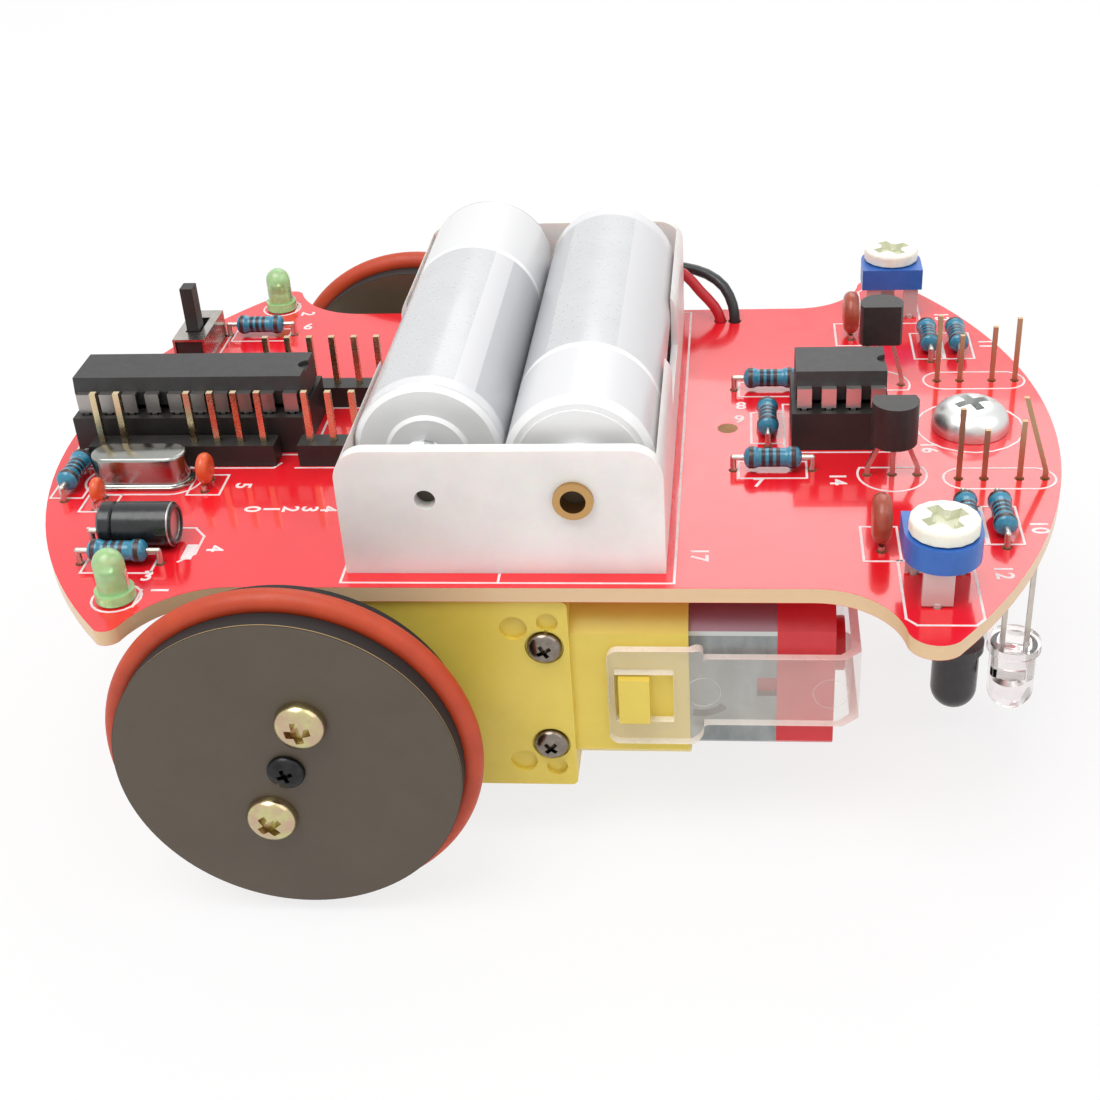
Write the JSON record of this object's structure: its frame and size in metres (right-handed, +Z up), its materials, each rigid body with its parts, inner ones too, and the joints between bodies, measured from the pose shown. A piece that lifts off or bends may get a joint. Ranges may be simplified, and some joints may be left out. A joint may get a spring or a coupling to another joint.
{
  "type": "line follower robot",
  "caption": "Small two-wheeled line follower robot: a red circuit board on geared motors with ring-tyred disc wheels, a screw caster, a cell holder and downward infrared sensors.",
  "frame": {"origin": "floor level, at the middle of the board's length and width", "axes": "+X forward to the sensor end, +Y to the robot's left, +Z up"},
  "size_m": [0.1076, 0.0886, 0.0482],
  "materials": {
    "board": "solder mask, satin",
    "solder": "solder",
    "black_plastic": "moulded",
    "chip": "moulded epoxy with tinned legs",
    "steel": "plated",
    "ceramic_brown": "dipped",
    "sleeve": "shrink sleeve over an aluminium can",
    "resistor": "lacquered",
    "lead": "tinned wire",
    "green_lens": "tinted epoxy",
    "clear_lens": "clear epoxy",
    "dark_lens": "dark epoxy",
    "gold": "gold flash",
    "blue_plastic": "moulded",
    "cream_plastic": "moulded",
    "white_plastic": "moulded",
    "brass": "plated",
    "cell": null,
    "red_wire": "wire insulation",
    "black_wire": "wire insulation",
    "chrome": "polished nickel",
    "foam": "foam tape",
    "strap": "clear moulding",
    "red_plastic": "moulded",
    "can": "pressed and plated",
    "yellow": "moulded",
    "gear": "moulded nylon",
    "rotor": "steel and copper",
    "kraft": "acrylic with its paper cover",
    "acrylic": "acrylic",
    "tyre": "rubber ring",
    "bolt": "yellow zinc",
    "black_screw": "black zinc"
  },
  "bodies": {
    "chassis": {"main_board": "board", "solder_joints": "solder", "chip_sockets": "black_plastic", "microcontroller": "chip", "comparator": "chip", "crystal": "steel", "ceramic_capacitors": "ceramic_brown", "electrolytic_capacitor": "sleeve", "resistors": "resistor", "component_leads": "lead", "transistors": "black_plastic", "indicator_leds": "green_lens", "infrared_emitters": "clear_lens", "infrared_receivers": "dark_lens", "header_strips": "black_plastic", "header_pins": "gold", "switch_body": "black_plastic", "switch_frame": "steel", "trimmer_bodies": "blue_plastic", "battery_holder": "white_plastic", "battery_springs": "steel", "battery_contacts": "brass", "red_lead": "red_wire", "black_lead": "black_wire", "caster_screw": "chrome", "caster_nut": "steel", "caster_cap_nut": "chrome", "motor_pads": "foam", "gearbox_screws": "steel", "gear_pins": "steel", "motor_straps": "strap", "motor_end_caps": "red_plastic", "motor_cans": "can", "gearbox_covers": "yellow", "gearbox_bases": "yellow"},
    "switch_lever": {"switch_lever": "black_plastic"},
    "left_dial": {"left_trimmer_dial": "cream_plastic"},
    "right_dial": {"right_trimmer_dial": "cream_plastic"},
    "front_cell": {"front_cell": "cell"},
    "rear_cell": {"rear_cell": "cell"},
    "left_wheel": {"left_output_shaft": "gear", "left_outer_disc": "kraft", "left_core_disc": "acrylic", "left_inner_disc": "kraft", "left_tyre": "tyre", "left_wheel_bolts": "bolt", "left_axle_screw": "black_screw"},
    "left_middle": {"left_middle_gear": "gear"},
    "left_crown": {"left_crown_gear": "gear"},
    "left_rotor": {"left_motor_rotor": "rotor"},
    "right_wheel": {"right_output_shaft": "gear", "right_outer_disc": "kraft", "right_core_disc": "acrylic", "right_inner_disc": "kraft", "right_tyre": "tyre", "right_wheel_bolts": "bolt", "right_axle_screw": "black_screw"},
    "right_middle": {"right_middle_gear": "gear"},
    "right_crown": {"right_crown_gear": "gear"},
    "right_rotor": {"right_motor_rotor": "rotor"}
  },
  "joints": [
    {"name": "left_wheel_spin", "type": "hinge", "parent": "chassis", "child": "left_wheel", "pos_m": [-0.0216, 0.0215, 0.01812], "axis": [0, 1, 0], "continuous": true},
    {"name": "left_middle_spin", "type": "hinge", "parent": "chassis", "child": "left_middle", "pos_m": [-0.01305, 0.0215, 0.01812], "axis": [0, 1, 0], "continuous": true},
    {"name": "left_crown_spin", "type": "hinge", "parent": "chassis", "child": "left_crown", "pos_m": [-0.0045, 0.0215, 0.01812], "axis": [0, 1, 0], "continuous": true},
    {"name": "left_rotor_spin", "type": "hinge", "parent": "chassis", "child": "left_rotor", "pos_m": [0.015, 0.0215, 0.01812], "axis": [1, 0, 0], "continuous": true},
    {"name": "right_wheel_spin", "type": "hinge", "parent": "chassis", "child": "right_wheel", "pos_m": [-0.0216, -0.0215, 0.01812], "axis": [0, 1, 0], "continuous": true},
    {"name": "right_middle_spin", "type": "hinge", "parent": "chassis", "child": "right_middle", "pos_m": [-0.01305, -0.0215, 0.01812], "axis": [0, 1, 0], "continuous": true},
    {"name": "right_crown_spin", "type": "hinge", "parent": "chassis", "child": "right_crown", "pos_m": [-0.0045, -0.0215, 0.01812], "axis": [0, 1, 0], "continuous": true},
    {"name": "right_rotor_spin", "type": "hinge", "parent": "chassis", "child": "right_rotor", "pos_m": [0.015, -0.0215, 0.01812], "axis": [1, 0, 0], "continuous": true},
    {"name": "left_trim", "type": "hinge", "parent": "chassis", "child": "left_dial", "pos_m": [0.0387, 0.0315, 0.03822], "axis": [0, 0, 1], "range_deg": [-115, 115]},
    {"name": "right_trim", "type": "hinge", "parent": "chassis", "child": "right_dial", "pos_m": [0.0387, -0.0315, 0.03822], "axis": [0, 0, 1], "range_deg": [-115, 115]},
    {"name": "switch_slide", "type": "slide", "parent": "chassis", "child": "switch_lever", "axis": [0, 1, 0], "range_m": [0, 0.002]},
    {"name": "front_cell_lift", "type": "slide", "parent": "chassis", "child": "front_cell", "axis": [0, 0, 1], "range_m": [0, 0.025]},
    {"name": "rear_cell_lift", "type": "slide", "parent": "chassis", "child": "rear_cell", "axis": [0, 0, 1], "range_m": [0, 0.025]}
  ],
  "couplings": [
    {"joint": "left_middle_spin", "follows": "left_wheel_spin", "ratio": -4},
    {"joint": "left_crown_spin", "follows": "left_wheel_spin", "ratio": 16},
    {"joint": "left_rotor_spin", "follows": "left_wheel_spin", "ratio": 48},
    {"joint": "right_middle_spin", "follows": "right_wheel_spin", "ratio": -4},
    {"joint": "right_crown_spin", "follows": "right_wheel_spin", "ratio": 16},
    {"joint": "right_rotor_spin", "follows": "right_wheel_spin", "ratio": -48}
  ]
}
